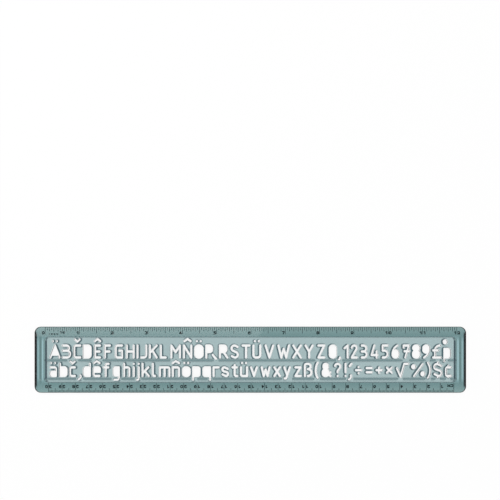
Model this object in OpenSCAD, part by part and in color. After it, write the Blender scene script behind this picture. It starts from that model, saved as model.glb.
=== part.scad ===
// Lettering stencil: one moulded plate with letter openings, and a rule printed along each long edge.
// The plate lies on the XY plane with the middle of its underside at the origin. X runs along the
// plate, Y points from the centimetre edge to the inch edge, and Z points up to the reader.

/* [Plate] */
// Length of the plate
plate_l = 320; // [150:0.5:420]
// Width of the plate
plate_w = 49; // [48.4:0.1:70]
// Radius of the plate's four corners
plate_corner_r = 4.8; // [3:0.1:8]
// Thickness of the frame beside the letter field
frame_t = 2.2; // [1.9:0.05:4]
// Thickness of the frame at the two ruled edges
ruled_edge_t = 1.0; // [0.8:0.05:1.6]
// Width of the bevelled rail that carries each rule
rail_w = 7.5; // [6.7:0.1:7.6]
// Width of the flat frame at each end
end_w = 7.3; // [6:0.1:12]
// Height at which the sloping rim of the outline starts
rim_foot_z = 0.6; // [0.3:0.05:0.75]

/* [Letter field] */
// Thickness of the sunken letter field
field_t = 0.9; // [0.6:0.05:1.4]
// Radius of the field's four corners
field_corner_r = 4; // [2.5:0.1:6]
// Length of the slope at each end of the field
field_end_slope = 1.5; // [0.8:0.1:3]
// Width of the slope along each side of the field
field_side_slope = 0.3; // [0.1:0.05:0.8]
// Height of the lips and ribs above the field
raised_h = 1.1; // [0.4:0.05:1.2]
// Width of the lip around each opening
lip_w = 0.32; // [0.2:0.01:0.45]
// Width of the two stiffening ribs
rib_w = 1.06; // [0.6:0.02:1.4]
// Clear space between a rib's end and the nearest lip
rib_gap = 0.75; // [0.3:0.05:1.5]
// Distance of the upper rib's middle under the capitals' line
upper_rib_drop = 1.56; // [1.4:0.02:1.7]
// Distance of the lower rib's middle under the small letters' line
lower_rib_drop = 1.55; // [1.4:0.05:1.9]

/* [Letters] */
// Width of the slot that guides the pen
pen_w = 1.15; // [0.8:0.01:1.3]
// Height of the capitals and numerals
cap_h = 10; // [8.5:0.1:10.4]
// Height of the small letters
small_h = 7.5; // [6.5:0.1:8]
// Height of the small letters' ascenders
ascender_h = 10.1; // [9:0.1:10.4]
// Depth of the descenders under their line
descender_h = 2.7; // [2:0.1:3]
// Height of the capitals' line above the field's lower edge
capital_line_y = 18.06; // [17.8:0.01:18.5]
// Height of the small letters' line above the field's lower edge
small_line_y = 4.4; // [4:0.01:4.8]
// Space between the field's left slope and the first letters
row_start = 2.6; // [2:0.1:4]
// Width of the bridge that holds the inner part of a letter
bridge_w = 1.05; // [0.7:0.05:1.4]
// Height of an accent's foot above its letter
accent_rise = 2.65; // [2.55:0.05:2.75]
// Height of a pointed accent between the pen's middle positions
accent_h = 1.6; // [1.2:0.1:1.7]
// Half the distance between an accent's two dots
accent_half_w = 1.45; // [1.3:0.05:1.6]
// Radius of the round corners of a capital
cap_round = 1.9; // [1.2:0.1:2.4]
// Radius of the round corners of a small letter
small_round = 1.2; // [0.8:0.1:1.6]
// Diameter of the round opening over the last letter and of the percent sign's two openings
ring_d = 3.35; // [2.5:0.05:3.6]
// Height of the round opening's middle above the last letter
ring_rise = 4.65; // [4.4:0.05:5]

/* [Printed rules] */
// Number of inches on the inch rule
inch_count = 12; // [5:1:12]
// Number of centimetres on the centimetre rule
cm_count = 30; // [12:1:30]
// Distance from the left end to the inch rule's zero
inch_zero_x = 8.1; // [6:0.1:12]
// Distance from the right end to the centimetre rule's zero
cm_zero_x = 9.4; // [6:0.1:12]
// Thickness of the printed ink
ink_t = 0.05; // [0.03:0.01:0.1]
// Width of a printed graduation
tick_w = 0.32; // [0.2:0.02:0.44]
// Length of a whole-inch graduation
inch_tick = 5.3; // [4:0.1:6.5]
// Length of a half-inch graduation
half_inch_tick = 4.6; // [3:0.1:5.5]
// Length of a quarter-inch or eighth-inch graduation
eighth_tick = 3.15; // [2:0.1:4]
// Length of a sixteenth-inch graduation
sixteenth_tick = 2.3; // [1:0.1:3]
// Length of a whole-centimetre graduation
cm_tick = 6.8; // [5:0.1:7]
// Length of a five-millimetre graduation
five_mm_tick = 2.9; // [2:0.1:4]
// Length of a millimetre graduation
mm_tick = 1.45; // [1:0.05:2]
// Height of the rules' numerals
numeral_h = 2.45; // [2.1:0.05:2.6]
// Stroke width of the rules' numerals
numeral_pen = 0.62; // [0.3:0.01:0.64]
// Width of the rules' numerals
numeral_w = 2; // [1.6:0.05:2.15]
// Distance of the numerals' middle from the ruled edge, along the rail
numeral_y = 4.65; // [4.4:0.05:5]
// Height of the small number that names the smallest inch graduation
sixteen_h = 1.95; // [1.5:0.05:2.1]
// Height of the letters that name the inch rule
inch_mark_h = 1.3; // [1.05:0.05:1.6]
// Width of those letters
inch_mark_w = 1.2; // [1.05:0.05:1.4]
// Stroke width of those letters
inch_mark_pen = 0.4; // [0.2:0.01:0.42]
// Distance of those letters' middle from the ruled edge, along the rail
inch_mark_y = 5.6; // [5:0.05:5.8]
// Distance from the inch rule's zero to the first of those letters
inch_mark_x = 3.1; // [2:0.1:4]
// Distance from one of those letters to the next
inch_mark_pitch = 2; // [1.5:0.1:2.3]
// Height of the letters that name the centimetre rule
cm_mark_h = 2.1; // [1.8:0.05:2.3]
// Distance of those letters' middle from the ruled edge, along the rail
cm_mark_y = 5.4; // [4.6:0.05:5.6]

/* [End grooves] */
// Length of the finger groove across each end
groove_l = 31; // [20:0.5:36]
// Width of the finger groove
groove_w = 3.2; // [2:0.1:4]
// Depth of the finger groove
groove_depth = 0.22; // [0.1:0.01:0.35]
// Distance of the groove's middle from the plate's end
groove_x = 4.65; // [4.4:0.05:5]
// Diameter of the moulding gate's mark in one groove
gate_mark_d = 0.9; // [0.5:0.1:1.4]
// Distance of the gate mark from the middle of its groove
gate_mark_y = 4.8; // [0:0.1:10]

/* [Hidden] */
$fn = 48;

inch = 25.4;
cm = 10;
// How far a cutting shape runs past the surface that it cuts
past = 1;
// How deep an added shape is rooted in the solid under it
root = 0.3;
half_l = plate_l / 2;
half_w = plate_w / 2;
field_half_l = half_l - end_w;
field_half_w = half_w - rail_w;
raised_z = field_t + raised_h;
// The ruled rails rise from the edge to the letter field at this angle
bevel_angle = atan2(frame_t - ruled_edge_t, rail_w);
rail_slope_l = norm([rail_w, frame_t - ruled_edge_t]);
// The ink starts just inside the outline's rim, measured along the rail from the ruled edge
ink_start = ruled_edge_t - rim_foot_z + 0.1;
ink_limit = rail_slope_l - 0.1;
// No numeral or mark stands nearer to its graduation than this
print_gap = 0.25;
// The rules never run past the other end of the plate
inches = min(inch_count, floor((plate_l - inch_zero_x - plate_corner_r) / inch));
cms = min(cm_count, floor((plate_l - cm_zero_x - plate_corner_r) / cm));
half_pen = pen_w / 2;
row_left = -field_half_l + field_end_slope + row_start;
row_limit = field_half_l - field_end_slope;
percent_disc = ring_d / 2 - half_pen;
groove_r = (groove_w * groove_w / 4 + groove_depth * groove_depth) / (2 * groove_depth);
gate_mark_h = 0.1;
// Each side of a slanting stroke lies this much inside its round ends, so that the outlines cross
// there and don't only touch
side_ease = 0.003;

// Colours of the plate and of the ink
plate_colour = [0.56, 0.68, 0.68, 0.75];
ink_colour = [0.04, 0.08, 0.1];

// Each entry is a sign, the space before it, its width and its accent, if it has one
CAPITAL_ROW = [
    ["A", 0, 7.9, "dots"], ["B", 1.3, 6.6], ["C", 1.9, 5.6, "caron"], ["D", 1.4, 6.3],
    ["E", 2.1, 4.8, "hat"], ["F", 2.5, 4.9], ["G", 3.1, 5.8], ["H", 2.4, 6.2], ["I", 1.7, pen_w],
    ["J", 1.6, 4.9], ["K", 1.5, 6.2], ["L", 1.9, 4.8], ["M", 3.0, 7.5],
    ["N", 1.8, 6.6, "wide hat"],
    ["O", 1.7, 6.7, "dots"], ["P", 1.6, 5.4], ["tail", -0.6, 3.6], ["R", 1.7, 6.6], ["S", 2.0, 5.8],
    ["T", 2.4, 6.2], ["U", 1.8, 6.2, "dots"], ["V", 2.8, 6.8], ["W", 2.7, 9.0], ["X", 2.0, 6.7],
    ["Y", 2.4, 6.4], ["Z", 3.1, 5.5], ["0", 2.9, 5.7], ["comma", 0.9, 2.2], ["1", 2.2, 3.4],
    ["2", 1.9, 4.8], ["3", 2.6, 4.8], ["4", 2.5, 5.5], ["5", 2.7, 4.8], ["6", 2.5, 5.4],
    ["7", 2.8, 5.3], ["8", 1.6, 6.0], ["9", 1.6, 5.5], ["pound", 1.8, 6.8], ["p", 1.5, 5.2, "ring"]
];
SMALL_ROW = [
    ["a", 0, 5.3, "dots"], ["b", 1.85, 6.0], ["c", 1.45, 4.7, "caron"], ["comma", 1.2, 3.1],
    ["d", 1.1, 5.7], ["e", 1.7, 5.7, "hat"], ["f", 1.65, 4.8], ["g", 2.6, 5.0], ["h", 2.7, 5.0],
    ["i", 2.2, pen_w], ["j", 1.15, 2.5], ["k", 1.7, 5.7], ["l", 1.9, 2.8], ["m", 2.4, 8.2],
    ["n", 1.4, 5.7, "wide hat"], ["o", 1.8, 6.1, "dots"], ["p", 1.4, 5.9], ["q", 1.8, 6.0],
    ["r", 1.5, 4.8], ["s", 1.7, 5.3], ["t", 2.2, 4.6], ["u", 1.7, 5.6, "dots"], ["v", 1.9, 5.4],
    ["w", 2.4, 7.0], ["x", 2.4, 5.2], ["y", 2.2, 5.2], ["z", 3.0, 4.9], ["sharp s", 2.1, 6.0],
    ["open", 2.0, 2.6], ["and", 2.6, 6.8], ["?", 2.2, 5.2], ["!", 2.7, pen_w], ["quote", 1.95, 2.4],
    ["comma", -3.3, 3.1], ["divide", 2.4, 5.0], ["equals", 2.9, 5.0], ["plus", 2.3, 5.0],
    ["times", 2.7, 4.8], ["root", 2.7, 9.3], ["percent", 1.85, 10.2], ["close", 1.5, 2.9],
    ["dollar", 1.8, 6.5], ["cent", 2.2, 4.6]
];

// Pen strokes. A path runs through points, an arc goes round a centre between two angles, a slab is
// a filled box with corner radii, and a fill is a filled polygon. All give the pen's middle line.
function path(points) = ["path", points];
function arc(centre, radius, from, to) = ["arc", centre, radius, from, to];
function fill(points) = ["fill", points];
function slab(low, high, radii) = ["slab", low, high, radii];
function dot(centre) = ["path", [centre]];
function at_angle(centre, radius, angle) = centre + radius * [cos(angle), sin(angle)];

// An arc with a round end at both of its ends
function curl(centre, radius, from, to) = [
    arc(centre, radius, from, to), dot(at_angle(centre, radius, from)),
    dot(at_angle(centre, radius, to))
];

// A bracket shape that is open to the right, with two round corners
function open_box(l, b, r, t, q) = [
    path([[r, t], [l + q, t]]), arc([l + q, t - q], q, 90, 180), path([[l, t - q], [l, b + q]]),
    arc([l + q, b + q], q, 180, 270), path([[l + q, b], [r, b]])
];

// An arch from a left stem over to a right stem
function arch(l, b, r, t, q) = [
    path([[l, t], [r - q, t]]), arc([r - q, t - q], q, 0, 90), path([[r, t - q], [r, b]])
];

// A stem at x that turns at its foot into a bar that ends at x_end
function foot(x, x_end, b, t, q) = let (s = x_end > x ? 1 : -1) [
    path([[x, t], [x, b + q]]),
    s > 0 ? arc([x + q, b + q], q, 180, 270) : arc([x - q, b + q], q, 270, 360),
    path([[x + s * q, b], [x_end, b]])
];

// Two round bowls, one over the other, with free bars on the left
function bowls(l, b, r, t, waist, set_back, bar_l) =
    let (q_up = (t - waist) / 2, q_low = (waist - b) / 2) [
        path([[l, t], [r - set_back - q_up, t]]),
        arc([r - set_back - q_up, t - q_up], q_up, -90, 90),
        path([[bar_l, waist], [r - min(q_low, set_back + q_up), waist]]),
        arc([r - q_low, b + q_low], q_low, -90, 90),
        path([[l, b], [r - q_low, b]])
    ];

// A double curve: two bowls joined by the straight line that touches both, with straight ends
function double_curve(l, b, r, t) =
    let (
        q = 0.232 * (t - b), up = [l + q, t - q], low = [r - q, b + q], span = low - up,
        touch = atan2(span.y, span.x) - acos(2 * q / norm(span)), lean = 62,
        end = (r - up.x - q * cos(lean) - 0.2) / sin(lean) * [sin(lean), -cos(lean)]
    ) [
        path([at_angle(up, q, lean), at_angle(up, q, lean) + end]), arc(up, q, lean, touch + 360),
        path([at_angle(up, q, touch), at_angle(low, -q, touch)]),
        arc(low, q, lean - 180, touch + 180),
        path([at_angle(low, -q, lean), at_angle(low, -q, lean) - end])
    ];

// Numerals that both the letter field and the rules use
function one(l, b, r, t) = [path([[l, t - 0.22 * (t - b)], [r, t], [r, b]])];
function two(l, b, r, t) = let (q = (r - l) / 2, c = [l + q, t - q]) [
    dot(at_angle(c, q, 170)), arc(c, q, -30, 170), path([at_angle(c, q, -30), [l, b], [r, b]])
];
function five(l, b, r, t) = let (m = b + 0.58 * (t - b), q = (m - b) / 2) [
    path([[r, t], [l, t], [l, m], [r - q, m]]), arc([r - q, b + q], q, -90, 90),
    path([[r - q, b], [l, b]])
];

// The curve that rises from a bowl's left side to the top of a six
function six_back(l, r, y, t) =
    let (
        reach = r - l, rise = t - y, q = (reach * reach + rise * rise) / (2 * reach),
        top = atan2(rise, reach - q)
    ) [
        arc([l + q, y], q, top, 180), dot(at_angle([l + q, y], q, top))
    ];

// Every list is turned by half a turn about the middle of a box of this width and height
function turned(strokes, w, h) = [for (s = strokes) turn_stroke(s, [w, h])];
function turn_stroke(s, box) =
    s[0] == "path" ? path([for (p = s[1]) box - p])
    : s[0] == "arc" ? arc(box - s[1], s[2], s[3] + 180, s[4] + 180)
    : slab(box - s[2], box - s[1], [s[3][2], s[3][3], s[3][0], s[3][1]]);

// Capitals and numerals of the letter field, from a line at zero, for a given width
function capital(sign, w) =
    let (l = half_pen, r = w - l, c = w / 2, b = l, t = cap_h - l, m = cap_h / 2, q = cap_round)
    sign == "A" ? let (bar = 0.27 * cap_h, s = (c - l) * (bar - b) / (t - b)) [
        path([[l, b], [c, t], [r, b]]), fill([[l + s, bar], [c, t], [r - s, bar]]),
        path([[l + s + side_ease, bar], [r - s - side_ease, bar]])
    ]
    : sign == "B" ? bowls(l, b, r, t, 0.56 * cap_h, 0.8, l)
    : sign == "C" ? open_box(l, b, r, t, 0.7 * q)
    : sign == "D" ? [slab([l, b], [r, t], [0, q, q, 0])]
    : sign == "E" ? [path([[r, t], [l, t], [l, b], [r, b]]), path([[l, m], [r - 0.3, m]])]
    : sign == "F" ? [path([[r, t], [l, t], [l, b]]), path([[l, m], [r - 0.3, m]])]
    : sign == "G" ? concat(
        open_box(l, b, r, t, 0.7 * q),
        [path([[r, b], [r, 0.56 * cap_h], [c + 0.2, 0.56 * cap_h]])]
    )
    : sign == "H" ? [path([[l, b], [l, t]]), path([[r, b], [r, t]]), path([[l, m], [r, m]])]
    : sign == "I" ? [path([[c, b], [c, t]])]
    : sign == "J" ? foot(r, l, b, t, q)
    : sign == "K" ? let (join = 0.4 * cap_h, fork = [l + 0.35 * (r - l), join + 0.35 * (t - join)]) [
        path([[l, b], [l, t]]), path([[l, join], [r, t]]), path([fork, [r, b]])
    ]
    : sign == "L" ? [path([[l, t], [l, b], [r, b]])]
    : sign == "M" ? [path([[l, b], [l, t], [c, 0.45 * cap_h], [r, t], [r, b]])]
    : sign == "N" ? [path([[l, b], [l, t], [r, b], [r, t]])]
    : sign == "O" ? let (o = 0.44 * (r - l)) [slab([l, b], [r, t], [o, o, o, o])]
    : sign == "P" ? [path([[l, b], [l, t]]), slab([l, 0.46 * cap_h], [r, t], [0, q, q, 0])]
    : sign == "tail" ? [path([[l, 0.25 * cap_h], [r, -half_pen]])]
    : sign == "R" ? [
        path([[l, b], [l, t]]), slab([l, 0.46 * cap_h], [r - 0.7, t], [0, q, q, 0]),
        path([[c, 0.46 * cap_h], [r, b]])
    ]
    : sign == "S" ? double_curve(l, b, r, t)
    : sign == "T" ? [path([[l, t], [r, t]]), path([[c, b], [c, t]])]
    : sign == "U" ? concat(foot(l, r - q, b, t, q), [
        arc([r - q, b + q], q, 270, 360), path([[r, b + q], [r, t]])
    ])
    : sign == "V" ? [path([[l, t], [c, b], [r, t]])]
    : sign == "W" ? let (s = 0.27 * (r - l)) [
        path([[l, t], [l + s, b], [c, 0.7 * cap_h], [r - s, b], [r, t]])
    ]
    : sign == "X" ? [path([[l, b], [r, t]]), path([[l, t], [r, b]])]
    : sign == "Y" ? [path([[l, t], [c, m], [r, t]]), path([[c, m], [c, b]])]
    : sign == "Z" ? [path([[l, t], [r, t], [l, b], [r, b]])]
    : sign == "0" ? let (o = 0.46 * (r - l)) [slab([l, b], [r, t], [o, o, o, o])]
    : sign == "1" ? one(l, b, r, t)
    : sign == "2" ? two(l, b, r, t)
    : sign == "3" ? bowls(l, b, r, t, m, 0.3, l)
    : sign == "4" ? let (s = l + 0.85 * (r - l), bar = 0.24 * cap_h) [
        path([[c - 0.15, t], [l, bar], [r, bar]]), path([[s, m], [s, b]])
    ]
    : sign == "5" ? five(l, b, r, t)
    : sign == "6" ? six(w)
    : sign == "7" ? [
        path([[l, t - 1.5], [l, t], [r - 0.2, t], [l + 0.3 * (r - l), b]]),
        path([[l + 0.6, 0.52 * cap_h], [r, 0.52 * cap_h]])
    ]
    : sign == "8" ? let (o = 0.4 * (r - l), waist = 0.56 * cap_h, s = 0.15) [
        slab([l, b], [r, waist - s], [o, o, o, o]),
        slab([l + s, waist + s], [r - s, t], [o, o, o, o] * 0.9)
    ]
    : sign == "9" ? turned(six(w), w, cap_h)
    : sign == "pound" ? let (stem = 0.3 * w, bend = t - (r - stem) * 0.86) [
        path([[l, b], [r, b]]), path([[stem, b], [stem, bend]]),
        arc([stem + t - bend, bend], t - bend, 90, 180), dot([stem + t - bend, t]),
        path([[l, bend], [0.62 * w, bend]])
    ]
    : sign == "comma" ? comma(w)
    : small(sign, w);

function six(w) =
    let (l = half_pen, r = w - l, o = 0.44 * (r - l), bowl_t = 0.58 * cap_h) concat(
        [slab([l, l], [r, bowl_t], [o, o, o, o])],
        six_back(l, r - 0.6, (l + bowl_t) / 2, cap_h - l)
    );

function comma(w) = curl([half_pen, half_pen - 0.5], w - pen_w, -85, 25);

// Small letters and signs of the letter field, from a line at zero, for a given width
function small(sign, w) =
    let (
        l = half_pen, r = w - l, c = w / 2, b = l, t = small_h - l, a = ascender_h - l,
        d = l - descender_h, q = small_round, mid = 0.48 * ascender_h
    )
    sign == "a" ? concat(arch(l, b, r, t, q), [slab([l, b], [r, 0.49 * small_h], [q, 0, 0, q])])
    : sign == "b" ? [path([[l, b], [l, a]]), slab([l, b], [r, t], [0, q, q, 0] * 1.3)]
    : sign == "c" ? open_box(l, b, r, t, q)
    : sign == "d" ? [path([[r, b], [r, a]]), slab([l, b], [r, t], [q, 0, 0, q] * 1.3)]
    : sign == "e" ? let (bar = 0.49 * small_h) [
        slab([l, bar], [r, t], [0, 0, q, q]), path([[l, bar], [l, b + q]]),
        arc([l + q, b + q], q, 180, 270), path([[l + q, b], [r - 0.3, b]])
    ]
    : sign == "f" ? let (stem = l + 1.5) [
        path([[stem, b], [stem, a - q]]), arc([stem + q, a - q], q, 90, 180),
        path([[stem + q, a], [r, a]]), path([[l, t], [r - 0.2, t]])
    ]
    : sign == "g" ? concat(
        [slab([l, b + 0.3], [r, t], [q, 0, 0, q])], foot(r, l + 0.3, d, t, q)
    )
    : sign == "h" ? concat([path([[l, b], [l, a]])], arch(l, b, r, t, q))
    : sign == "i" ? [path([[c, b], [c, t]]), dot([c, a])]
    : sign == "j" ? concat(foot(r, l, d, t, 0.8 * q), [dot([r, a])])
    : sign == "k" ? let (join = 0.34 * small_h, fork = [l + 0.35 * (r - l), join + 0.35 * (t - join)]) [
        path([[l, b], [l, a]]), path([[l, join], [r - 0.3, t]]), path([fork, [r, b]])
    ]
    : sign == "l" ? foot(l, r, b, a, 0.7 * q)
    : sign == "m" ? concat([path([[l, b], [l, t]]), path([[c, b], [c, t]])], arch(l, b, r, t, q))
    : sign == "n" ? concat([path([[l, b], [l, t]])], arch(l, b, r, t, q))
    : sign == "o" ? let (o = 0.4 * (r - l)) [slab([l, b], [r, t], [o, o, o, o])]
    : sign == "p" ? [path([[l, d], [l, t]]), slab([l, b], [r, t], [0, q, q, 0])]
    : sign == "q" ? [path([[r, d], [r, t]]), slab([l, b], [r, t], [q, 0, 0, q])]
    : sign == "r" ? [path([[l, b], [l, t], [r, t]])]
    : sign == "s" ? double_curve(l, b, r, t)
    : sign == "t" ? concat(foot(l + 1.6, r, b, 0.9 * a, q), [path([[l, t], [r - 0.3, t]])])
    : sign == "u" ? concat(foot(l, r, b, t, q), [path([[r, b], [r, t]])])
    : sign == "v" ? [path([[l, t], [c, b], [r, t]])]
    : sign == "w" ? let (s = 0.26 * (r - l)) [
        path([[l, t], [l + s, b], [c, 0.7 * small_h], [r - s, b], [r, t]])
    ]
    : sign == "x" ? [path([[l, b], [r, t]]), path([[l, t], [r, b]])]
    : sign == "y" ? let (join = [c + 0.1, b + 0.5], tail = join + (join - [r, t]) * 0.42) [
        path([[l, t], join]), path([[r, t], tail, [l, tail.y]])
    ]
    : sign == "z" ? [path([[l, t], [r, t], [l, b], [r, b]])]
    : sign == "sharp s" ? let (inner = l + pen_w + bridge_w) concat(
        [
            path([[l, b], [l, a - q]]), arc([l + q, a - q], q, 90, 180),
            path([[l + q, a], [inner, a]])
        ],
        bowls(inner, b, r, a, 0.56 * ascender_h, 0.6, inner)
    )
    : sign == "open" ? bracket(l, 1, w)
    : sign == "close" ? bracket(r, -1, w)
    : sign == "and" ? let (waist = 0.54 * ascender_h, o = 0.3 * (r - l)) [
        slab([l, b], [c + 1.4, waist - 0.2], [o, o, o, o]),
        slab([l + 0.6, waist + 0.2], [c + 0.9, a], [o, o, o, o] * 0.8),
        path([[c, 0.3 * ascender_h], [r, b]]), path([[c + 1.2, b + 0.6], [r, 0.32 * ascender_h]])
    ]
    : sign == "?" ? let (bow = (r - l) / 2 - 0.05, turn_c = [c, a - bow]) [
        arc(turn_c, bow, -50, 165), dot(at_angle(turn_c, bow, 165)),
        path([at_angle(turn_c, bow, -50), [c, 0.42 * ascender_h]]),
        path([[c, 0.42 * ascender_h], [c, 0.33 * ascender_h]]), dot([c, b])
    ]
    : sign == "!" ? [path([[c, a], [c, 0.33 * ascender_h]]), dot([c, b])]
    : sign == "quote" ? [path([[r, a], [l, 0.78 * ascender_h]])]
    : sign == "comma" ? comma(w)
    : sign == "divide" ? [
        path([[l, mid], [r, mid]]), dot([c, mid + 2 * pen_w]), dot([c, mid - 2 * pen_w])
    ]
    : sign == "equals" ? [
        path([[l, mid + 1.35 * pen_w], [r, mid + 1.35 * pen_w]]),
        path([[l, mid - 1.35 * pen_w], [r, mid - 1.35 * pen_w]])
    ]
    : sign == "plus" ? [path([[l, mid], [r, mid]]), path([[c, mid - c + l], [c, mid + c - l]])]
    : sign == "times" ? let (s = c - l) [
        path([[l, mid - s], [r, mid + s]]), path([[l, mid + s], [r, mid - s]])
    ]
    : sign == "root" ? [
        path([[l, 0.62 * ascender_h], [0.35 * w, 0], [0.64 * w, a], [r, a]])
    ]
    : sign == "percent" ? let (s = half_pen + percent_disc) [
        path([[0.2 * w, 0.5], [0.82 * w, a - 0.3]]),
        disc([s, 0.73 * ascender_h]), disc([w - s, 0.21 * ascender_h])
    ]
    : sign == "dollar" ? concat(
        double_curve(l, b, r, cap_h - l),
        [path([[c, b], [c, b - pen_w]]), path([[c, cap_h - l], [c, cap_h - l + pen_w]])]
    )
    : concat(
        open_box(l, b, r, t, q),
        [path([[c, b], [c, b - pen_w]]), path([[c, t], [c, t + pen_w]])]
    );

// A round hole of the ring's size
function disc(centre) = ["disc", centre];

// A tall bracket that bulges to one side, from a little under the line to above the ascenders
function bracket(x, side, w) =
    let (
        sag = w - pen_w, reach = 0.57 * ascender_h, q = (reach * reach + sag * sag) / (2 * sag),
        spread = asin(reach / q), facing = side > 0 ? 180 : 0
    )
        curl([x + side * q, 0.46 * ascender_h], q, facing - spread, facing + spread);

// Accents, from the middle of their foot
function accent(name) =
    let (caron_half = accent_half_w + 0.25, hat_half = accent_half_w + 0.55, dip = 0.35)
    name == "dots" ? [dot([-accent_half_w, 0]), dot([accent_half_w, 0])]
    : name == "caron" ? [
        path([[-caron_half, accent_h - dip], [0, -dip], [caron_half, accent_h - dip]])
    ]
    : name == "hat" ? [path([[-hat_half, 0], [0, accent_h], [hat_half, 0]])]
    : name == "wide hat" ? [path([[-hat_half - 0.3, 0], [0, accent_h], [hat_half + 0.3, 0]])]
    : [];

// Numerals and letters of the printed rules, in a box from left and bottom to right and top
function printed(sign, l, b, r, t) =
    let (c = (l + r) / 2, q = (r - l) / 2, m = (b + t) / 2)
    sign == "0" ? [
        arc([c, t - q], q, 0, 180), path([[l, t - q], [l, b + q]]),
        arc([c, b + q], q, 180, 360), path([[r, b + q], [r, t - q]])
    ]
    : sign == "1" ? one(l + 0.3 * q, b, r - 0.5 * q, t)
    : sign == "2" ? two(l, b, r, t)
    : sign == "3" ? bowls(l, b, r, t, m, 0, c)
    : sign == "4" ? let (s = l + 0.7 * (r - l), bar = b + 0.28 * (t - b)) [
        path([[s, b], [s, t], [l, bar], [r, bar]])
    ]
    : sign == "5" ? five(l, b, r, t)
    : sign == "6" ? concat([arc([c, b + q], q, 0, 360)], six_back(l, r - 0.3 * q, b + q, t))
    : sign == "7" ? [path([[l, t], [r, t], [c - 0.3 * q, b]])]
    : sign == "8" ? let (right = bowls(c, b, r, t, m, 0, c))
        concat(right, turned(right, l + r, b + t))
    : sign == "9" ? turned(printed("6", l, b, r, t), l + r, b + t)
    : sign == "C" ? open_box(l, b, r, t, 0.5 * q)
    : sign == "H" ? [path([[l, b], [l, t]]), path([[r, b], [r, t]]), path([[l, m], [r, m]])]
    : sign == "I" ? [path([[c, b], [c, t]])]
    : sign == "M" ? [path([[l, b], [l, t], [c, m], [r, t], [r, b]])]
    : [path([[l, b], [l, t], [r, b], [r, t]])];

// One straight stroke of a round pen
module segment(from, to, radius) {
    run = to - from;
    slanting = min(abs(run.x), abs(run.y)) > side_ease;
    half = slanting ? radius - side_ease : radius;
    translate(from)
        rotate(atan2(run.y, run.x))
            translate([0, -half])
                square([norm(run), 2 * half]);
}

// The part of a circle's ring between two angles
module ring_sector(centre, radius, from, to, half_width) {
    reach = 2 * (radius + half_width);
    steps = ceil((to - from) / 60);
    half = from % 90 == 0 && to % 90 == 0 ? half_width : half_width - side_ease;
    translate(centre)
        intersection() {
            difference() {
                circle(radius + half);
                if (radius > half) circle(radius - half);
            }
            if (to - from < 360) {
                polygon(concat([[0, 0]], [
                    for (i = [0:steps]) at_angle([0, 0], reach, from + (to - from) * i / steps)
                ]));
            }
        }
}

// A filled box with a round corner at each of its four corners
module grown_slab(low, high, radii, grow) {
    centres = [
        low + [radii[0], radii[0]], [high.x - radii[1], low.y + radii[1]],
        high - [radii[2], radii[2]], [low.x + radii[3], high.y - radii[3]]
    ];
    polygon([
        for (i = [0:3]) for (turn = [0, 90])
            at_angle(centres[i], radii[i] + grow, 180 + 90 * i + turn)
    ]);
    for (i = [0:3]) translate(centres[i]) circle(radii[i] + grow);
}

// Every stroke of a sign, drawn with a round pen of the given radius
module draw(strokes, radius) {
    for (s = strokes) {
        if (s[0] == "path") {
            for (p = s[1]) translate(p) circle(radius);
            if (len(s[1]) > 1) for (i = [1:len(s[1]) - 1]) segment(s[1][i - 1], s[1][i], radius);
        }
        if (s[0] == "arc") ring_sector(s[1], s[2], s[3], s[4], radius);
        if (s[0] == "fill") polygon(s[1]);
        if (s[0] == "slab") grown_slab(s[1], s[2], s[3], radius);
        if (s[0] == "disc") translate(s[1]) circle(percent_disc + radius);
    }
}

// Left edge of each sign in a row
function sign_lefts(row, i = 0, x = 0) =
    i == len(row) ? [] : concat([x + row[i][1]], sign_lefts(row, i + 1, x + row[i][1] + row[i][2]));
CAPITAL_LEFTS = sign_lefts(CAPITAL_ROW);
SMALL_LEFTS = sign_lefts(SMALL_ROW);
function fits(left, w) = row_left + left + w + lip_w < row_limit;
// Whether a shape that reaches this far up from the field's lower edge stays under the upper one
function clears(reach) = reach + lip_w < 2 * field_half_w;

// Name of the accent over a sign, or none
function accent_name(entry) = len(entry) > 3 ? entry[3] : "";

// A row of signs with their accents, as flat shapes, for a pen that is grown by a lip
module sign_row(row, lefts, line_y, letter_h, grow) {
    foot = letter_h + accent_rise;
    for (i = [0:len(row) - 1]) {
        sign = row[i][0];
        w = row[i][2];
        name = accent_name(row[i]);
        if (fits(lefts[i], w)) translate([row_left + lefts[i], line_y - field_half_w]) {
            draw(letter_h == cap_h ? capital(sign, w) : small(sign, w), half_pen + grow);
            if (name == "ring") {
                if (clears(line_y + small_h + ring_rise + ring_d / 2))
                    translate([pen_w, small_h + ring_rise]) circle(ring_d / 2 + grow);
            } else if (clears(line_y + foot + accent_h + half_pen)) {
                translate([w / 2, foot]) draw(accent(name), half_pen + grow);
            }
        }
    }
}

module all_signs(grow) {
    sign_row(CAPITAL_ROW, CAPITAL_LEFTS, capital_line_y, cap_h, grow);
    sign_row(SMALL_ROW, SMALL_LEFTS, small_line_y, small_h, grow);
}

// Where a sign reaches down through the rib under its line: from and to, or nothing
function reach_down(sign, w) =
    sign == "p" ? [0, 2 * pen_w]
    : sign == "q" || sign == "tail" ? [w - pen_w, w]
    : sign == "dollar" || sign == "cent" ? [w / 2 - half_pen, w / 2 + half_pen]
    : sign == "root" ? [0.35 * w - half_pen, 0.35 * w + half_pen]
    : sign == "open" ? [w - 1.6 * pen_w, w]
    : sign == "close" ? [0, 1.6 * pen_w]
    : sign == "comma" || sign == "g" || sign == "j" || sign == "y" ? [0, w]
    : [];

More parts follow.
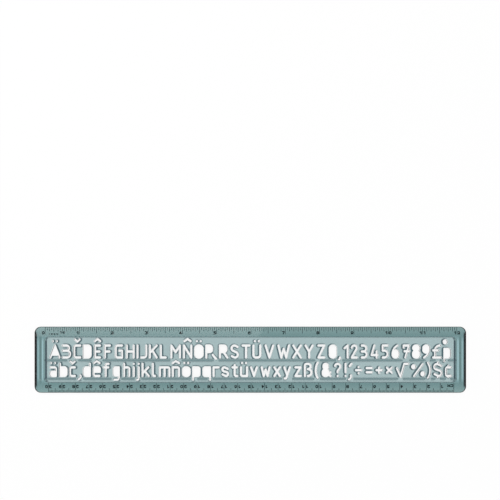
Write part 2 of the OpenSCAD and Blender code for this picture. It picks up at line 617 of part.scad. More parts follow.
// Where a small sign or its accent reaches up through the rib over it: from and to, or nothing
function reach_up(entry) =
    let (w = entry[2], sign = entry[0], name = accent_name(entry), s = accent_half_w + 1.6)
    sign == "dollar" ? reach_down(sign, w)
    : sign == "open" ? [w - pen_w, w]
    : sign == "close" ? [0, pen_w]
    : sign == "root" ? [0.64 * w, w - half_pen]
    : name == "" || name == "dots" ? []
    : [w / 2 - s, w / 2 + s];

// The stretches along X that a rib leaves free, from left to right
function stops(row, lefts, up) = [
    for (i = [0:len(row) - 1])
        let (reach = up ? reach_up(row[i]) : reach_down(row[i][0], row[i][2]))
            if (reach != [] && fits(lefts[i], row[i][2])) reach + [1, 1] * (row_left + lefts[i])
];

// A rib along the field at one height, broken wherever a sign reaches through it
module rib(y, breaks) {
    clear = lip_w + rib_gap;
    difference() {
        translate([-field_half_l - root, y - rib_w / 2])
            square([2 * (field_half_l + root), rib_w]);
        for (stop = breaks) {
            translate([stop[0] - clear - rib_w / 2, y - rib_w])
                square([stop[1] - stop[0] + 2 * clear + rib_w, 2 * rib_w]);
        }
    }
    for (stop = breaks) for (x = [stop[0] - clear - rib_w / 2, stop[1] + clear + rib_w / 2]) {
        if (rib_end_is_free(x, breaks, clear)) translate([x, y]) circle(rib_w / 2);
    }
}

// A rib ends in a round only where no other break takes the round away
function rib_end_is_free(x, breaks, clear) =
    abs(x) < field_half_l
    && len([for (stop = breaks) if (
        x > stop[0] - clear - rib_w / 2 + 0.01 && x < stop[1] + clear + rib_w / 2 - 0.01
    ) 1]) == 0;

module ribs() {
    rib(
        capital_line_y - field_half_w - upper_rib_drop,
        concat(stops(CAPITAL_ROW, CAPITAL_LEFTS, false), stops(SMALL_ROW, SMALL_LEFTS, true))
    );
    rib(small_line_y - field_half_w - lower_rib_drop, stops(SMALL_ROW, SMALL_LEFTS, false));
}

// A long prism along X from a section that is drawn across it, Y to the right and Z up
module along_x(length) {
    rotate([90, 0, 90]) linear_extrude(length, center = true) children();
}

// A prism across the plate from a section that is drawn along it, X to the right and Z up
module along_y(length) {
    rotate([90, 0, 0]) linear_extrude(length, center = true) children();
}

// A section that is level up to one height and narrows at 45 degrees above it
module rim_section(half, top) {
    rise = top - rim_foot_z;
    polygon([
        [-half, 0], [half, 0], [half, rim_foot_z],
        [half - rise, top], [rise - half, top], [-half, rim_foot_z]
    ]);
}

// The plate's outline with its sloping rim: two crossing prisms and a cone at each corner
module rimmed_outline() {
    q = plate_corner_r;
    rise = frame_t - rim_foot_z;
    along_x(2 * (half_l - q)) rim_section(half_w, frame_t);
    along_y(2 * (half_w - q)) rim_section(half_l, frame_t);
    for (x = [q - half_l, half_l - q]) for (y = [q - half_w, half_w - q]) translate([x, y, 0]) {
        cylinder(r = q, h = rim_foot_z);
        translate([0, 0, rim_foot_z]) cylinder(r1 = q, r2 = q - rise, h = rise);
    }
}

// The frame before the field is sunk: bevelled rails along both edges
module bevelled_blank() {
    intersection() {
        rimmed_outline();
        along_x(plate_l + 2 * past) polygon([
            [-half_w, 0], [half_w, 0], [half_w, ruled_edge_t], [field_half_w, frame_t],
            [-field_half_w, frame_t], [-half_w, ruled_edge_t]
        ]);
    }
}

// A rectangle with round corners, around the origin
module rounded_rectangle(half_x, half_y, radius) {
    grown_slab([radius - half_x, radius - half_y], [half_x - radius, half_y - radius],
        [0, 0, 0, 0], radius);
}

// The section of the sunken field: as wide as the frame's opening above, narrower at its floor
module field_section(half, slope) {
    rise = frame_t - field_t;
    polygon([
        [slope - half, field_t], [half - slope, field_t], [half, frame_t], [half, frame_t + past],
        [-half, frame_t + past], [-half, frame_t]
    ]);
}

module field_recess() {
    intersection() {
        translate([0, 0, field_t - past])
            linear_extrude(frame_t - field_t + 3 * past)
                rounded_rectangle(field_half_l, field_half_w, field_corner_r);
        along_x(plate_l) field_section(field_half_w, field_side_slope);
        along_y(plate_w) field_section(field_half_l, field_end_slope);
    }
}

// A shallow finger groove with round ends across one end of the plate
module finger_groove() {
    half = (groove_l - groove_w) / 2;
    translate([0, 0, frame_t - groove_depth + groove_r]) {
        rotate([90, 0, 0]) cylinder(r = groove_r, h = 2 * half, center = true);
        for (y = [-half, half]) translate([0, y, 0]) sphere(groove_r);
    }
}

module stencil_plate() {
    color(plate_colour) {
        difference() {
            union() {
                difference() {
                    bevelled_blank();
                    field_recess();
                }
                translate([0, 0, field_t - root]) linear_extrude(raised_h + root) {
                    ribs();
                    all_signs(lip_w);
                }
            }
            translate([0, 0, -past]) linear_extrude(raised_z + 2 * past) all_signs(0);
            for (side = [-1, 1]) translate([side * (half_l - groove_x), 0, 0]) finger_groove();
        }
        translate([half_l - groove_x, gate_mark_y, frame_t - groove_depth - root])
            cylinder(d = gate_mark_d, h = root + gate_mark_h);
    }
}

// Ink on a bevelled rail. The ruled edge is at y zero, the rail lies under negative y, and x runs
// along the rule from its own left end.
module ink_on_rail() {
    color(ink_colour)
        translate([-half_l, half_w, ruled_edge_t])
            rotate([-bevel_angle, 0, 0])
                linear_extrude(ink_t) children();
}

// The centimetre rule reads from the other side of the plate
module on_far_rail() {
    rotate(180) children();
}

module tick(x, length) {
    reach = min(length, ink_limit - ink_start);
    translate([x - tick_w / 2, -ink_start - reach]) square([tick_w, reach]);
}

// One printed sign in a box around its middle
module print_sign(sign, x, y, w, h, pen) {
    translate([x, -y])
        draw(printed(sign, (pen - w) / 2, (pen - h) / 2, (w - pen) / 2, (h - pen) / 2), pen / 2);
}

// A number beside its graduation, or with one digit on each side of it
module number_at(value, x, y, w, h, pen) {
    step = (tick_w + w) / 2 + print_gap;
    if (value < 10) {
        print_sign(str(value), x - step, y, w, h, pen);
    } else {
        print_sign(str(floor(value / 10)), x - step, y, w, h, pen);
        print_sign(str(value % 10), x + step, y, w, h, pen);
    }
}

module inch_graduations() {
    ink_on_rail() for (i = [0:16 * inches]) {
        tick(
            inch_zero_x + i * inch / 16,
            i % 16 == 0 ? inch_tick : i % 8 == 0 ? half_inch_tick : i % 2 == 0 ? eighth_tick
            : sixteenth_tick
        );
    }
}

module inch_numerals() {
    ink_on_rail() {
        for (i = [0:inches]) {
            number_at(i, inch_zero_x + i * inch, numeral_y, numeral_w, numeral_h, numeral_pen);
        }
        number_at(
            16, inch_zero_x + inch / 2, numeral_y - 0.3, 0.8 * sixteen_h, sixteen_h,
            numeral_pen * sixteen_h / numeral_h
        );
    }
}

module inch_unit_mark() {
    ink_on_rail() for (i = [0:3]) {
        print_sign(
            "INCH"[i], inch_zero_x + inch_mark_x + i * inch_mark_pitch, inch_mark_y,
            inch_mark_w, inch_mark_h, inch_mark_pen
        );
    }
}

module centimetre_graduations() {
    on_far_rail() ink_on_rail() for (i = [0:10 * cms]) {
        tick(
            cm_zero_x + i * cm / 10,
            i % 10 == 0 ? cm_tick : i % 5 == 0 ? five_mm_tick : mm_tick
        );
    }
}

module centimetre_numerals() {
    on_far_rail() ink_on_rail() for (i = [1:cms]) {
        number_at(i, cm_zero_x + i * cm, numeral_y, numeral_w, numeral_h, numeral_pen);
    }
}

module centimetre_unit_mark() {
    step = cm_mark_h + print_gap / 2;
    on_far_rail() ink_on_rail() for (i = [0:1]) {
        print_sign(
            "CM"[i], cm_zero_x + tick_w / 2 + print_gap + cm_mark_h / 2 + i * step, cm_mark_y,
            cm_mark_h, cm_mark_h, numeral_pen
        );
    }
}

stencil_plate();
inch_graduations();
inch_numerals();
inch_unit_mark();
centimetre_graduations();
centimetre_numerals();
centimetre_unit_mark();
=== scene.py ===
# %% [markdown]
# # A lettering stencil in clear tinted plastic
# The stencil is one thin moulded plate, with two rules printed along its edges. Every solid comes
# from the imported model, so this lesson is about finish and light: how clear plastic, ink, a white
# table and a soft light make the photographed look. Loading comes first, because each later cell
# asks the model for its sizes.

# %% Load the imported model
import bpy
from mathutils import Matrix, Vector


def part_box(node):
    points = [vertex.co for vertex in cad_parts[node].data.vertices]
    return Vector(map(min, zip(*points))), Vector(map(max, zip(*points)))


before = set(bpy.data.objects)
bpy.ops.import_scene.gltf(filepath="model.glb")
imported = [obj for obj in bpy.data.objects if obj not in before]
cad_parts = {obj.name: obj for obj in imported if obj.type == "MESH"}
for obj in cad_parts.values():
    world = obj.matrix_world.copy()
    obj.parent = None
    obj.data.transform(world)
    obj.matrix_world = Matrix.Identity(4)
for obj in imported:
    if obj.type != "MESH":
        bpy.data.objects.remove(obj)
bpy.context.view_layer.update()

MM = 0.001
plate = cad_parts["stencil_plate"]
plate_low, plate_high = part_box("stencil_plate")
for name, corner in (("lowest", plate_low), ("highest", plate_high)):
    print("plate's", name, "corner in mm:", [round(length / MM, 2) for length in corner])

# %% [markdown]
# ## The camera
# The photograph looks straight down on the plate from a little over half a metre. Aiming the camera
# at a point beside the plate would move the plate in the picture too, but it would also tilt the
# view. A lens shift slides the picture and keeps the view square, so that is used here.

# %% Camera straight above the plate
IMAGE_PX = 500
PX_PER_MM = 1.3522
CAMERA_HEIGHT = 0.6
SENSOR_MM = 36
PLATE_MIDDLE_PX = (250.32, 359.7)

frame_width = IMAGE_PX / PX_PER_MM * MM
camera_data = bpy.data.cameras.new("overhead_camera")
camera_data.sensor_width = SENSOR_MM
camera_data.lens = SENSOR_MM * (CAMERA_HEIGHT - plate_high.z) / frame_width
camera_data.shift_x = (IMAGE_PX / 2 - PLATE_MIDDLE_PX[0]) / IMAGE_PX
camera_data.shift_y = (PLATE_MIDDLE_PX[1] - IMAGE_PX / 2) / IMAGE_PX
camera_data.clip_start = 0.01
camera = bpy.data.objects.new("overhead_camera", camera_data)
camera.location = (0, 0, CAMERA_HEIGHT)
bpy.context.scene.collection.objects.link(camera)
bpy.context.scene.camera = camera
print("lens", round(camera_data.lens, 1), "mm, shift", round(camera_data.shift_y, 3))

# %% [markdown]
# ## Building a material from nodes
# Each finish below is a graph of small nodes. Writing every node and link out in full would hide the
# idea under bookkeeping, so a few helpers do it. The first three make a material, add a node with its
# settings, and put a finished material on a solid.

# %% Helpers for materials
def new_material(name):
    """A material with an empty node graph and its output node."""
    material = bpy.data.materials.new(name)
    material.use_nodes = True
    graph = material.node_tree
    graph.nodes.clear()
    output = graph.nodes.new("ShaderNodeOutputMaterial")
    return material, graph, output


def add_node(graph, kind, **settings):
    """Adds a node. A setting that names an input gives its value, any other sets a property."""
    node = graph.nodes.new(kind)
    for name, value in settings.items():
        socket = node.inputs.get(name.replace("_", " "))
        if socket is not None:
            socket.default_value = value
        else:
            setattr(node, name, value)
    return node


def give_finish(node, material):
    """Puts one material on every slot of a CAD node."""
    data = node.data
    if not data.materials:
        data.materials.append(material)
    for i in range(len(data.materials)):
        data.materials[i] = material
    print(node.name, "gets", material.name)


print("material helpers ready")

# %% [markdown]
# The plastic needs masks: numbers from 0 to 1 that say where on the surface something shows. A mask
# could be painted by hand, but then it would no longer fit when the part changes. Here each one is
# worked out from the place and direction of the surface, with the helpers of the next cell.

# %% Helpers for masks
def number(graph, kind, first, second=None, third=None):
    """A math node on sockets or plain numbers. It returns the result's socket."""
    node = add_node(graph, "ShaderNodeMath", operation=kind)
    for i, value in enumerate((first, second, third)):
        if value is None:
            continue
        if isinstance(value, (int, float)):
            node.inputs[i].default_value = value
        else:
            graph.links.new(value, node.inputs[i])
    return node.outputs[0]


def rise(graph, value, none_at, full_at):
    """A mask that goes smoothly from 0 at one value to 1 at another."""
    node = add_node(graph, "ShaderNodeMapRange", interpolation_type="SMOOTHSTEP")
    graph.links.new(value, node.inputs["Value"])
    node.inputs["From Min"].default_value = min(none_at, full_at)
    node.inputs["From Max"].default_value = max(none_at, full_at)
    node.inputs["To Min"].default_value = float(none_at > full_at)
    node.inputs["To Max"].default_value = float(none_at < full_at)
    return node.outputs["Result"]


def distance(graph, value, middle):
    """How far a value is from the middle of a band."""
    return number(graph, "ABSOLUTE", number(graph, "SUBTRACT", value, middle))


def product(graph, *masks):
    """The place where all the masks are on."""
    result = masks[0]
    for mask in masks[1:]:
        result = number(graph, "MULTIPLY", result, mask)
    return result


def blend(graph, first, second, mask):
    """Mixes two colours by a mask. Each colour is a socket or four plain numbers."""
    node = add_node(graph, "ShaderNodeMix", data_type="RGBA")
    graph.links.new(mask, node.inputs["Factor"])
    for socket, value in ((node.inputs[6], first), (node.inputs[7], second)):
        if isinstance(value, tuple):
            socket.default_value = value
        else:
            graph.links.new(value, socket)
    return node.outputs[2]


print("mask helpers ready")

# %% [markdown]
# ## The white table
# The photograph's ground is pure white, and clear plastic shows it from below. A lit white surface
# alone would turn grey away from the lamp, and one that only glows would hide the stencil's shadow.
# So the table is both. Its glow is seen by the camera, by reflections and through the plastic, but it
# throws no light on the stencil. The rest is lit paint that keeps the soft shadow.

# %% Table
TABLE_SIZE = 6
AIR_GAP = 0.02 * MM
GLOW_SHARE = 0.85
PAPER_WHITE = (0.97, 0.97, 0.97, 1)

bpy.ops.object.select_all(action="DESELECT")
bpy.ops.mesh.primitive_plane_add(size=TABLE_SIZE, location=(0, 0, plate_low.z - AIR_GAP))
table = bpy.context.object
table.name = "white_table"
paper, graph, output = new_material("white_table_top")
links = graph.links
rays = add_node(graph, "ShaderNodeLightPath")
seen = number(graph, "MAXIMUM", rays.outputs["Is Camera Ray"], rays.outputs["Is Glossy Ray"])
seen = number(graph, "MAXIMUM", seen, rays.outputs["Is Transmission Ray"])
paint = add_node(graph, "ShaderNodeBsdfDiffuse", Color=PAPER_WHITE)
glow = add_node(graph, "ShaderNodeEmission", Color=(1, 1, 1, 1), Strength=1)
mix = add_node(graph, "ShaderNodeMixShader")
links.new(number(graph, "MULTIPLY", seen, GLOW_SHARE), mix.inputs[0])
links.new(paint.outputs[0], mix.inputs[1])
links.new(glow.outputs[0], mix.inputs[2])
links.new(mix.outputs[0], output.inputs["Surface"])
table.data.materials.append(paper)
print("table", TABLE_SIZE, "m square, just under the plate")

# %% [markdown]
# ## Soft studio light
# The photograph has no hard shadow and no bright spot, only a soft light from all round with a
# little more from above the inch edge. A white world gives the first, and one wide lamp the second.
# A small lamp would throw hard shadows and would show as a bright spot on the shiny plastic.

# %% World and lamp
WORLD_LEVEL = 0.85
LAMP_WATTS = 5
LAMP_SIZE = 1.2
LAMP_PLACE = (-0.5, 0.7, 1.3)

world = bpy.data.worlds.new("white_surroundings")
bpy.context.scene.world = world
world.use_nodes = True
background = world.node_tree.nodes["Background"]
background.inputs["Color"].default_value = (1, 1, 1, 1)
background.inputs["Strength"].default_value = WORLD_LEVEL
lamp_data = bpy.data.lights.new("wide_lamp", "AREA")
lamp_data.shape = "DISK"
lamp_data.size = LAMP_SIZE
lamp_data.energy = LAMP_WATTS
lamp = bpy.data.objects.new("wide_lamp", lamp_data)
lamp.location = LAMP_PLACE
lamp.rotation_euler = (-Vector(LAMP_PLACE)).to_track_quat("-Z", "Y").to_euler()
bpy.context.scene.collection.objects.link(lamp)
print("world", WORLD_LEVEL, "and a lamp of", LAMP_WATTS, "W")

# %% [markdown]
# ## Clear tinted plastic
# The plate is see-through, and it is darker where it is thicker, so most of its colour is an
# absorption inside the solid. More things show on the real moulding, and they are light and shade.
# Its sloping rim bends the view away from the white table and looks nearly black. The lips round the
# letters have pale crowns, thin dark edges, and a shade beside them on one side. The finger grooves
# are dark between two bright flanks. Light in the solid alone gives these only faintly, so each of
# them is also painted into the surface's tint with a mask: painted shade for the dark ones and a
# painted highlight for the bright ones. The masks need the few places that tell the faces of the
# mould apart. They are measured from the plate's own box, so they follow the part. A hair, a tenth of
# a millimetre, is the unit of their soft borders.

# %% Where the faces of the plate lie
HAIR = 0.1 * MM
END_WIDTH = 7.3 * MM
RAIL_WIDTH = 7.5 * MM
END_SLOPE = 1.25 * MM
SLOPE_CORNER = 3 * MM
GROOVE_INSET = 4.6 * MM
GROOVE_HALF_Y = 15.5 * MM
CROWN_Z = 2.0 * MM
RIB_HALF = 0.53 * MM
RIBS_ABOVE_FIELD_EDGE = (16.5 * MM, 2.85 * MM)

field_half_x = plate_high.x - END_WIDTH
field_half_y = plate_high.y - RAIL_WIDTH
foot_x = field_half_x - END_SLOPE
foot_half_y = field_half_y - SLOPE_CORNER
groove_x = plate_high.x - GROOVE_INSET
rib_rows = [above - field_half_y for above in RIBS_ABOVE_FIELD_EDGE]
print("field half size", round(field_half_x / MM, 1), round(field_half_y / MM, 1), "mm")
print("the foot of the end slopes is", round(foot_x / MM, 2), "mm from the middle")

# %% [markdown]
# Each mask asks the surface the same few things: how far a point is from the middle along and across
# the plate, how high it is, and how level its face is. Object coordinates are used, because they are
# metres on the part itself and stay put when it is moved.

# %% What the masks ask the surface
plastic, graph, output = new_material("clear_tinted_plastic")
links = graph.links
place = add_node(graph, "ShaderNodeTexCoord")
spot = add_node(graph, "ShaderNodeSeparateXYZ")
links.new(place.outputs["Object"], spot.inputs[0])
away_x = number(graph, "ABSOLUTE", spot.outputs["X"])
away_y = number(graph, "ABSOLUTE", spot.outputs["Y"])
height = spot.outputs["Z"]
face = add_node(graph, "ShaderNodeNewGeometry")
facing = add_node(graph, "ShaderNodeSeparateXYZ")
links.new(face.outputs["Normal"], facing.inputs[0])
level = number(graph, "ABSOLUTE", facing.outputs["Z"])
print("masks read place, height and direction")

# %% [markdown]
# The rim slopes all the way round. Its clear plastic bends the view away from the white table, and
# that dark is painted shade here. At the two ends it is broad and painted nearly black. Along the
# rules it is only a thin painted dark line, so it is a mask of its own. The frame beside the black
# end rims gets a little painted shade too, because the plastic carries their darkness inwards.

# %% The sloping rims
STEEPNESS = (0.985, 0.75)
END_RIM_STARTS = (6.5 * MM, 2.5 * MM)
RIM_SHADE_STARTS = (2.2 * MM, 1.7 * MM)
RIM_SHADE_CORNERS = (3 * MM, 6 * MM)

steep = rise(graph, level, *STEEPNESS)
from_end = number(graph, "SUBTRACT", plate_high.x, away_x)
from_side = number(graph, "SUBTRACT", plate_high.y, away_y)
outside = number(
    graph, "MAXIMUM",
    rise(graph, away_x, field_half_x + HAIR, field_half_x + 3 * HAIR),
    rise(graph, away_y, field_half_y + HAIR, field_half_y + 3 * HAIR),
)
any_rim = product(graph, steep, outside)
# Painted shade: the end rims are painted nearly black, the side rims a thin dark line.
painted_dark_rim = product(graph, any_rim, rise(graph, from_end, *END_RIM_STARTS))
painted_side_rim_line = number(graph, "SUBTRACT", any_rim, painted_dark_rim)
# Painted shade on the frame beside the end rims.
painted_rim_shade = product(
    graph, rise(graph, from_end, *RIM_SHADE_STARTS), rise(graph, from_side, *RIM_SHADE_CORNERS)
)
print("the end rims are shaded", RIM_SHADE_STARTS[0] / MM, "mm wide")

# %% [markdown]
# The letter field is everything between the rails that lies lower than the frame's top. Height makes
# that test follow the field's round corners, which a plain rectangle would miss. The long slopes at
# its ends are a little lighter than the rails, with a dark line of painted shade at their head and
# foot. Every other steep face in the field is the wall of a lip or of an opening, and these walls get
# painted shade.

# %% The sunken field, its slopes and its walls
LINE_ENDS = (foot_half_y + 15 * HAIR, foot_half_y - 5 * HAIR)
FOOT_LINE = (7 * HAIR, 3 * HAIR)
BRINK_LINE = (3 * HAIR, HAIR)

in_field = product(
    graph, number(graph, "SUBTRACT", 1.0, outside),
    rise(graph, height, plate_high.z - HAIR / 2, plate_high.z - HAIR),
)
slope = product(graph, steep, rise(graph, away_x, foot_x, foot_x + 2 * HAIR))
# Painted shade on the walls of lips and openings.
painted_wall_shade = product(graph, steep, in_field, rise(graph, away_x, foot_x + 2 * HAIR, foot_x))
straight = rise(graph, away_y, *LINE_ENDS)
# Painted shade: dark lines at the foot and the head of the end slopes.
foot = product(graph, straight, rise(graph, distance(graph, away_x, foot_x), *FOOT_LINE))
painted_brink_shade = product(graph, straight, rise(graph, distance(graph, away_x, field_half_x), *BRINK_LINE))
print("slopes and walls told apart at", round(foot_x / MM, 2), "mm")

# %% [markdown]
# Lips and ribs are equally high, so their level tops share one height. A lip's narrow crown gathers
# light and looks white, so it gets a painted highlight. A rib is wider: its middle stays clear and
# only its two edges show, as a pair of dark lines of painted shade.

# %% Lip crowns and rib lines
LEVEL_ENOUGH = (0.8, 0.95)

top = product(graph, in_field, rise(graph, distance(graph, height, CROWN_Z), HAIR, HAIR / 4))
off_rib = number(
    graph, "MINIMUM", *[distance(graph, spot.outputs["Y"], rib_y) for rib_y in rib_rows]
)
crown = product(
    graph, top, rise(graph, level, *LEVEL_ENOUGH), rise(graph, off_rib, RIB_HALF, RIB_HALF + HAIR)
)
# Painted shade: a dark line along each edge of a rib.
painted_rib_shade = product(
    graph, top, rise(graph, off_rib, RIB_HALF - 4 * HAIR, RIB_HALF - 2 * HAIR),
    rise(graph, off_rib, RIB_HALF + HAIR, RIB_HALF),
)
print("crowns at", CROWN_Z / MM, "mm, ribs at", [round(rib_y / MM, 2) for rib_y in rib_rows], "mm")

# %% [markdown]
# Real moulded edges are slightly round, and a round edge shows as a thin dark line, which is painted
# here as shade. Rounding the solid's thousands of edges would make a heavy mesh. The Bevel node gives
# the direction that a rounded surface would have, and where it differs from the flat one there is an
# edge that gets the painted line. On the crowns the painted line is kept only on the side that looks
# to the turning point, the place along the plate where the light changes sides; the rest of each
# crown keeps its painted highlight.

# %% Thin lines on the edges
EDGE_RADIUS = 0.22 * MM
TURN_X = -35 * MM
EDGE_BEND = (0.998, 0.96)
LINE_BEND = (0.98, 0.88)
LINE_TILT = (0.05, 0.25)

rounded = add_node(graph, "ShaderNodeBevel", samples=6, Radius=EDGE_RADIUS)
bend = add_node(graph, "ShaderNodeVectorMath", operation="DOT_PRODUCT")
links.new(rounded.outputs["Normal"], bend.inputs[0])
links.new(face.outputs["Normal"], bend.inputs[1])
# Painted shade: a thin dark line on every edge.
painted_edge_shade = rise(graph, bend.outputs["Value"], *EDGE_BEND)
tilt = add_node(graph, "ShaderNodeSeparateXYZ")
links.new(rounded.outputs["Normal"], tilt.inputs[0])
from_turn = number(graph, "SUBTRACT", spot.outputs["X"], TURN_X)
side = number(graph, "SIGN", from_turn)
to_middle = number(graph, "MULTIPLY", number(graph, "MULTIPLY", tilt.outputs["X"], side), -1.0)
# Where the painted edge shade stays on a crown: the side that looks to the turning point.
painted_crown_edge_shade = product(
    graph, rise(graph, bend.outputs["Value"], *LINE_BEND), rise(graph, to_middle, *LINE_TILT)
)
# Painted highlight: the crowns are white except under that painted line.
painted_crown_highlight = product(graph, crown, number(graph, "SUBTRACT", 1.0, painted_crown_edge_shade))
print("edges look", EDGE_RADIUS / MM, "mm round")

# %% [markdown]
# The field gets painted shade beside each lip on the side that looks to the turning point. Ambient
# occlusion finds such corners. Tipping the direction that it looks in away from the turning point,
# more so further off, makes it find the lips that lie on that side. Along the rails and the ribs it
# would find corners too, so the painted shade fades out there.

# %% Shade beside the lips
SHADE_REACH = 1.4 * MM
LEAN_PER_METRE = 15.0
LEAN_LIMIT = 0.85
SHADE_CLOSED = (0.88, 0.71)
LOOKS_UP = (0.5, 0.9)
ABOVE_UNDERSIDE = (0.3 * MM, 0.6 * MM)
SIDE_FADE = 1.2 * MM
RIB_FADE = 0.8 * MM

leaning = number(graph, "MULTIPLY", from_turn, LEAN_PER_METRE)
leaning = number(graph, "MAXIMUM", number(graph, "MINIMUM", leaning, LEAN_LIMIT), -LEAN_LIMIT)
lean = add_node(graph, "ShaderNodeCombineXYZ", Z=1.0)
links.new(leaning, lean.inputs["X"])
corner = add_node(
    graph, "ShaderNodeAmbientOcclusion", only_local=True, samples=8, Distance=SHADE_REACH
)
links.new(lean.outputs[0], corner.inputs["Normal"])
# Painted shade on the field beside the lips.
painted_lip_shade = product(
    graph, rise(graph, corner.outputs["AO"], *SHADE_CLOSED),
    rise(graph, facing.outputs["Z"], *LOOKS_UP), rise(graph, height, *ABOVE_UNDERSIDE),
    rise(graph, away_y, field_half_y, field_half_y - SIDE_FADE),
    rise(graph, off_rib, RIB_HALF, RIB_HALF + RIB_FADE),
)
print("shade reaches", SHADE_REACH / MM, "mm")

# %% [markdown]
# A finger groove is shallow, so its shape alone hardly shows from straight above. On the real
# moulding it is a dark band between two bright ones, the inner one brighter. The dark band is painted
# shade and the bright ones are painted highlights. Both bands fade out where the groove ends.

# %% Finger grooves
GROOVE_FADE = 3 * MM
HOLLOW_HALF = (1.4 * MM, 0.1 * MM)
FLANK_STARTS = (0.6 * MM, 1.3 * MM)
FLANK_ENDS = (2.9 * MM, 2.1 * MM)
OUTER_FLANK = 0.7
INNER_EXTRA = 0.3

from_groove = distance(graph, away_x, groove_x)
along_groove = rise(graph, away_y, GROOVE_HALF_Y + GROOVE_FADE, GROOVE_HALF_Y - GROOVE_FADE)
# Painted shade in the middle of the groove.
painted_groove_shade = product(graph, along_groove, rise(graph, from_groove, *HOLLOW_HALF))
inner_side = rise(graph, away_x, groove_x + HAIR, groove_x - HAIR)
# Painted highlights on the groove's two flanks, the inner one brighter.
painted_flank_highlight = product(
    graph, along_groove,
    rise(graph, from_groove, *FLANK_STARTS), rise(graph, from_groove, *FLANK_ENDS),
    number(graph, "MULTIPLY_ADD", inner_side, INNER_EXTRA, OUTER_FLANK),
)
print("grooves", round(groove_x / MM, 1), "mm from the middle")

# %% [markdown]
# The tints lie over each other like coats of glaze, from the plain body up to the pale crowns. The
# field and the slopes are simply lighter than the rails. The other coats are painted light: painted
# shade in the grooves' hollows, beside the lips, on edges, ribs, walls, brinks, feet and rims, and
# painted highlights on the groove flanks and the crowns. Light passes the surface on its way in and
# again on its way out, so each tint counts twice and is chosen lighter than it looks.

# %% Coats of tint
BODY_TINT = (0.37, 0.50, 0.485, 1)
# Each coat is a mask and its colour; all but the field's and the slopes' are painted shade or painted
# highlights.
TINTS_AND_PAINTED_LIGHT = (
    (in_field, (0.59, 0.685, 0.685, 1)),
    (painted_flank_highlight, (0.86, 1.0, 1.0, 1)),
    (painted_groove_shade, (0.29, 0.40, 0.38, 1)),
    (painted_lip_shade, (0.02, 0.05, 0.065, 1)),
    (painted_edge_shade, (0.03, 0.05, 0.055, 1)),
    (painted_rib_shade, (0.035, 0.07, 0.075, 1)),
    (painted_wall_shade, (0.10, 0.17, 0.17, 1)),
    (slope, (0.48, 0.56, 0.50, 1)),
    (painted_brink_shade, (0.07, 0.12, 0.13, 1)),
    (foot, (0.03, 0.06, 0.08, 1)),
    (painted_rim_shade, (0.008, 0.02, 0.024, 1)),
    (painted_side_rim_line, (0.03, 0.045, 0.045, 1)),
    (painted_dark_rim, (0.0006, 0.0012, 0.0015, 1)),
    (painted_crown_highlight, (0.96, 0.98, 0.98, 1)),
)

tint = BODY_TINT
for mask, colour in TINTS_AND_PAINTED_LIGHT:
    tint = blend(graph, tint, colour, mask)
print(len(TINTS_AND_PAINTED_LIGHT), "coats over the body's tint")

# %% [markdown]
# Clear plastic lets nearly all light through. The crowns, the walls and the end rims are made partly
# cloudy, so that their painted highlight or painted shade shows rather than what lies behind them.
# The surface is smooth with a very faint waviness, as moulded plastic has, and the volume gives the
# colour that deepens with thickness. Its shine is kept low, because a stronger one mirrors the white
# table on the rim and turns its painted black grey.

# %% Plastic finish
CROWN_CLOUD = 0.8
WALL_CLOUD = 0.3
RIM_CLOUD = 0.97
PLASTIC_ROUGHNESS = 0.04
PLASTIC_SHINE = 0.06
PLASTIC_IOR = 1.49
INSIDE_COLOUR = (0.168, 0.462, 0.516, 1)
INSIDE_DENSITY = 457
WAVE_SCALE = 90
WAVE_STRENGTH = 0.15
WAVE_HEIGHT = 0.2 * MM

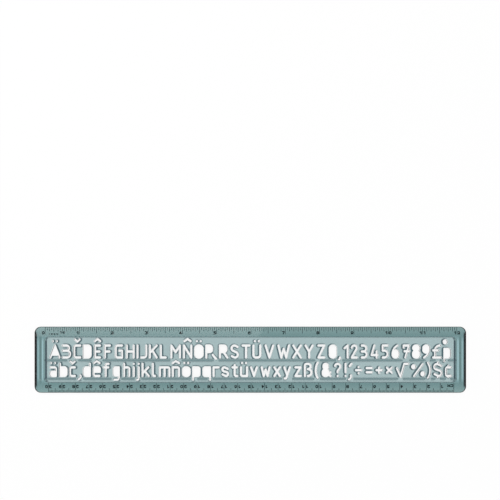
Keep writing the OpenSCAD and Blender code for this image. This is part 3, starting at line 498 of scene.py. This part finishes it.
cloudy = number(graph, "MULTIPLY", painted_dark_rim, RIM_CLOUD)
cloudy = number(graph, "MULTIPLY_ADD", painted_wall_shade, WALL_CLOUD, cloudy)
cloudy = number(graph, "MULTIPLY_ADD", painted_crown_highlight, CROWN_CLOUD, cloudy)
clearness = number(graph, "SUBTRACT", 1.0, cloudy)
shader = add_node(
    graph, "ShaderNodeBsdfPrincipled", Roughness=PLASTIC_ROUGHNESS, IOR=PLASTIC_IOR,
    Specular_IOR_Level=PLASTIC_SHINE,
)
inside = add_node(
    graph, "ShaderNodeVolumeAbsorption", Color=INSIDE_COLOUR, Density=INSIDE_DENSITY
)
unevenness = add_node(graph, "ShaderNodeTexNoise", Scale=WAVE_SCALE, Detail=1)
bump = add_node(graph, "ShaderNodeBump", Strength=WAVE_STRENGTH, Distance=WAVE_HEIGHT)
links.new(place.outputs["Object"], unevenness.inputs["Vector"])
links.new(unevenness.outputs["Fac"], bump.inputs["Height"])
links.new(bump.outputs["Normal"], shader.inputs["Normal"])
links.new(tint, shader.inputs["Base Color"])
links.new(clearness, shader.inputs["Transmission Weight"])
links.new(shader.outputs["BSDF"], output.inputs["Surface"])
links.new(inside.outputs["Volume"], output.inputs["Volume"])
give_finish(plate, plastic)

# %% [markdown]
# ## Printed ink
# The rules are screen-printed in black. Screen ink is matt, and its film is slightly uneven, so a
# fine noise varies its black a little from place to place. One finish serves all the printed pieces.

# %% Ink finish
DEEP_BLACK = (0.0005, 0.004, 0.005, 1)
WORN_BLACK = (0.003, 0.010, 0.012, 1)
INK_GRAIN = 900
INK_ROUGHNESS = 0.6
INK_SHINE = 0.1

ink, graph, output = new_material("black_printed_ink")
links = graph.links
place = add_node(graph, "ShaderNodeTexCoord")
grain = add_node(graph, "ShaderNodeTexNoise", Scale=INK_GRAIN, Detail=3)
blackness = add_node(graph, "ShaderNodeValToRGB")
blackness.color_ramp.elements[0].color = DEEP_BLACK
blackness.color_ramp.elements[1].color = WORN_BLACK
shader = add_node(
    graph, "ShaderNodeBsdfPrincipled", Roughness=INK_ROUGHNESS, Specular_IOR_Level=INK_SHINE
)
links.new(place.outputs["Object"], grain.inputs["Vector"])
links.new(grain.outputs["Fac"], blackness.inputs["Fac"])
links.new(blackness.outputs["Color"], shader.inputs["Base Color"])
links.new(shader.outputs["BSDF"], output.inputs["Surface"])
for name in sorted(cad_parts):
    if name != "stencil_plate":
        give_finish(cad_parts[name], ink)

# %% [markdown]
# ## Colours as they are
# The dressed model keeps the size of the solids. The Standard view shows colours as they are, which
# keeps the white ground white.

bpy.context.scene.view_settings.view_transform = "Standard"
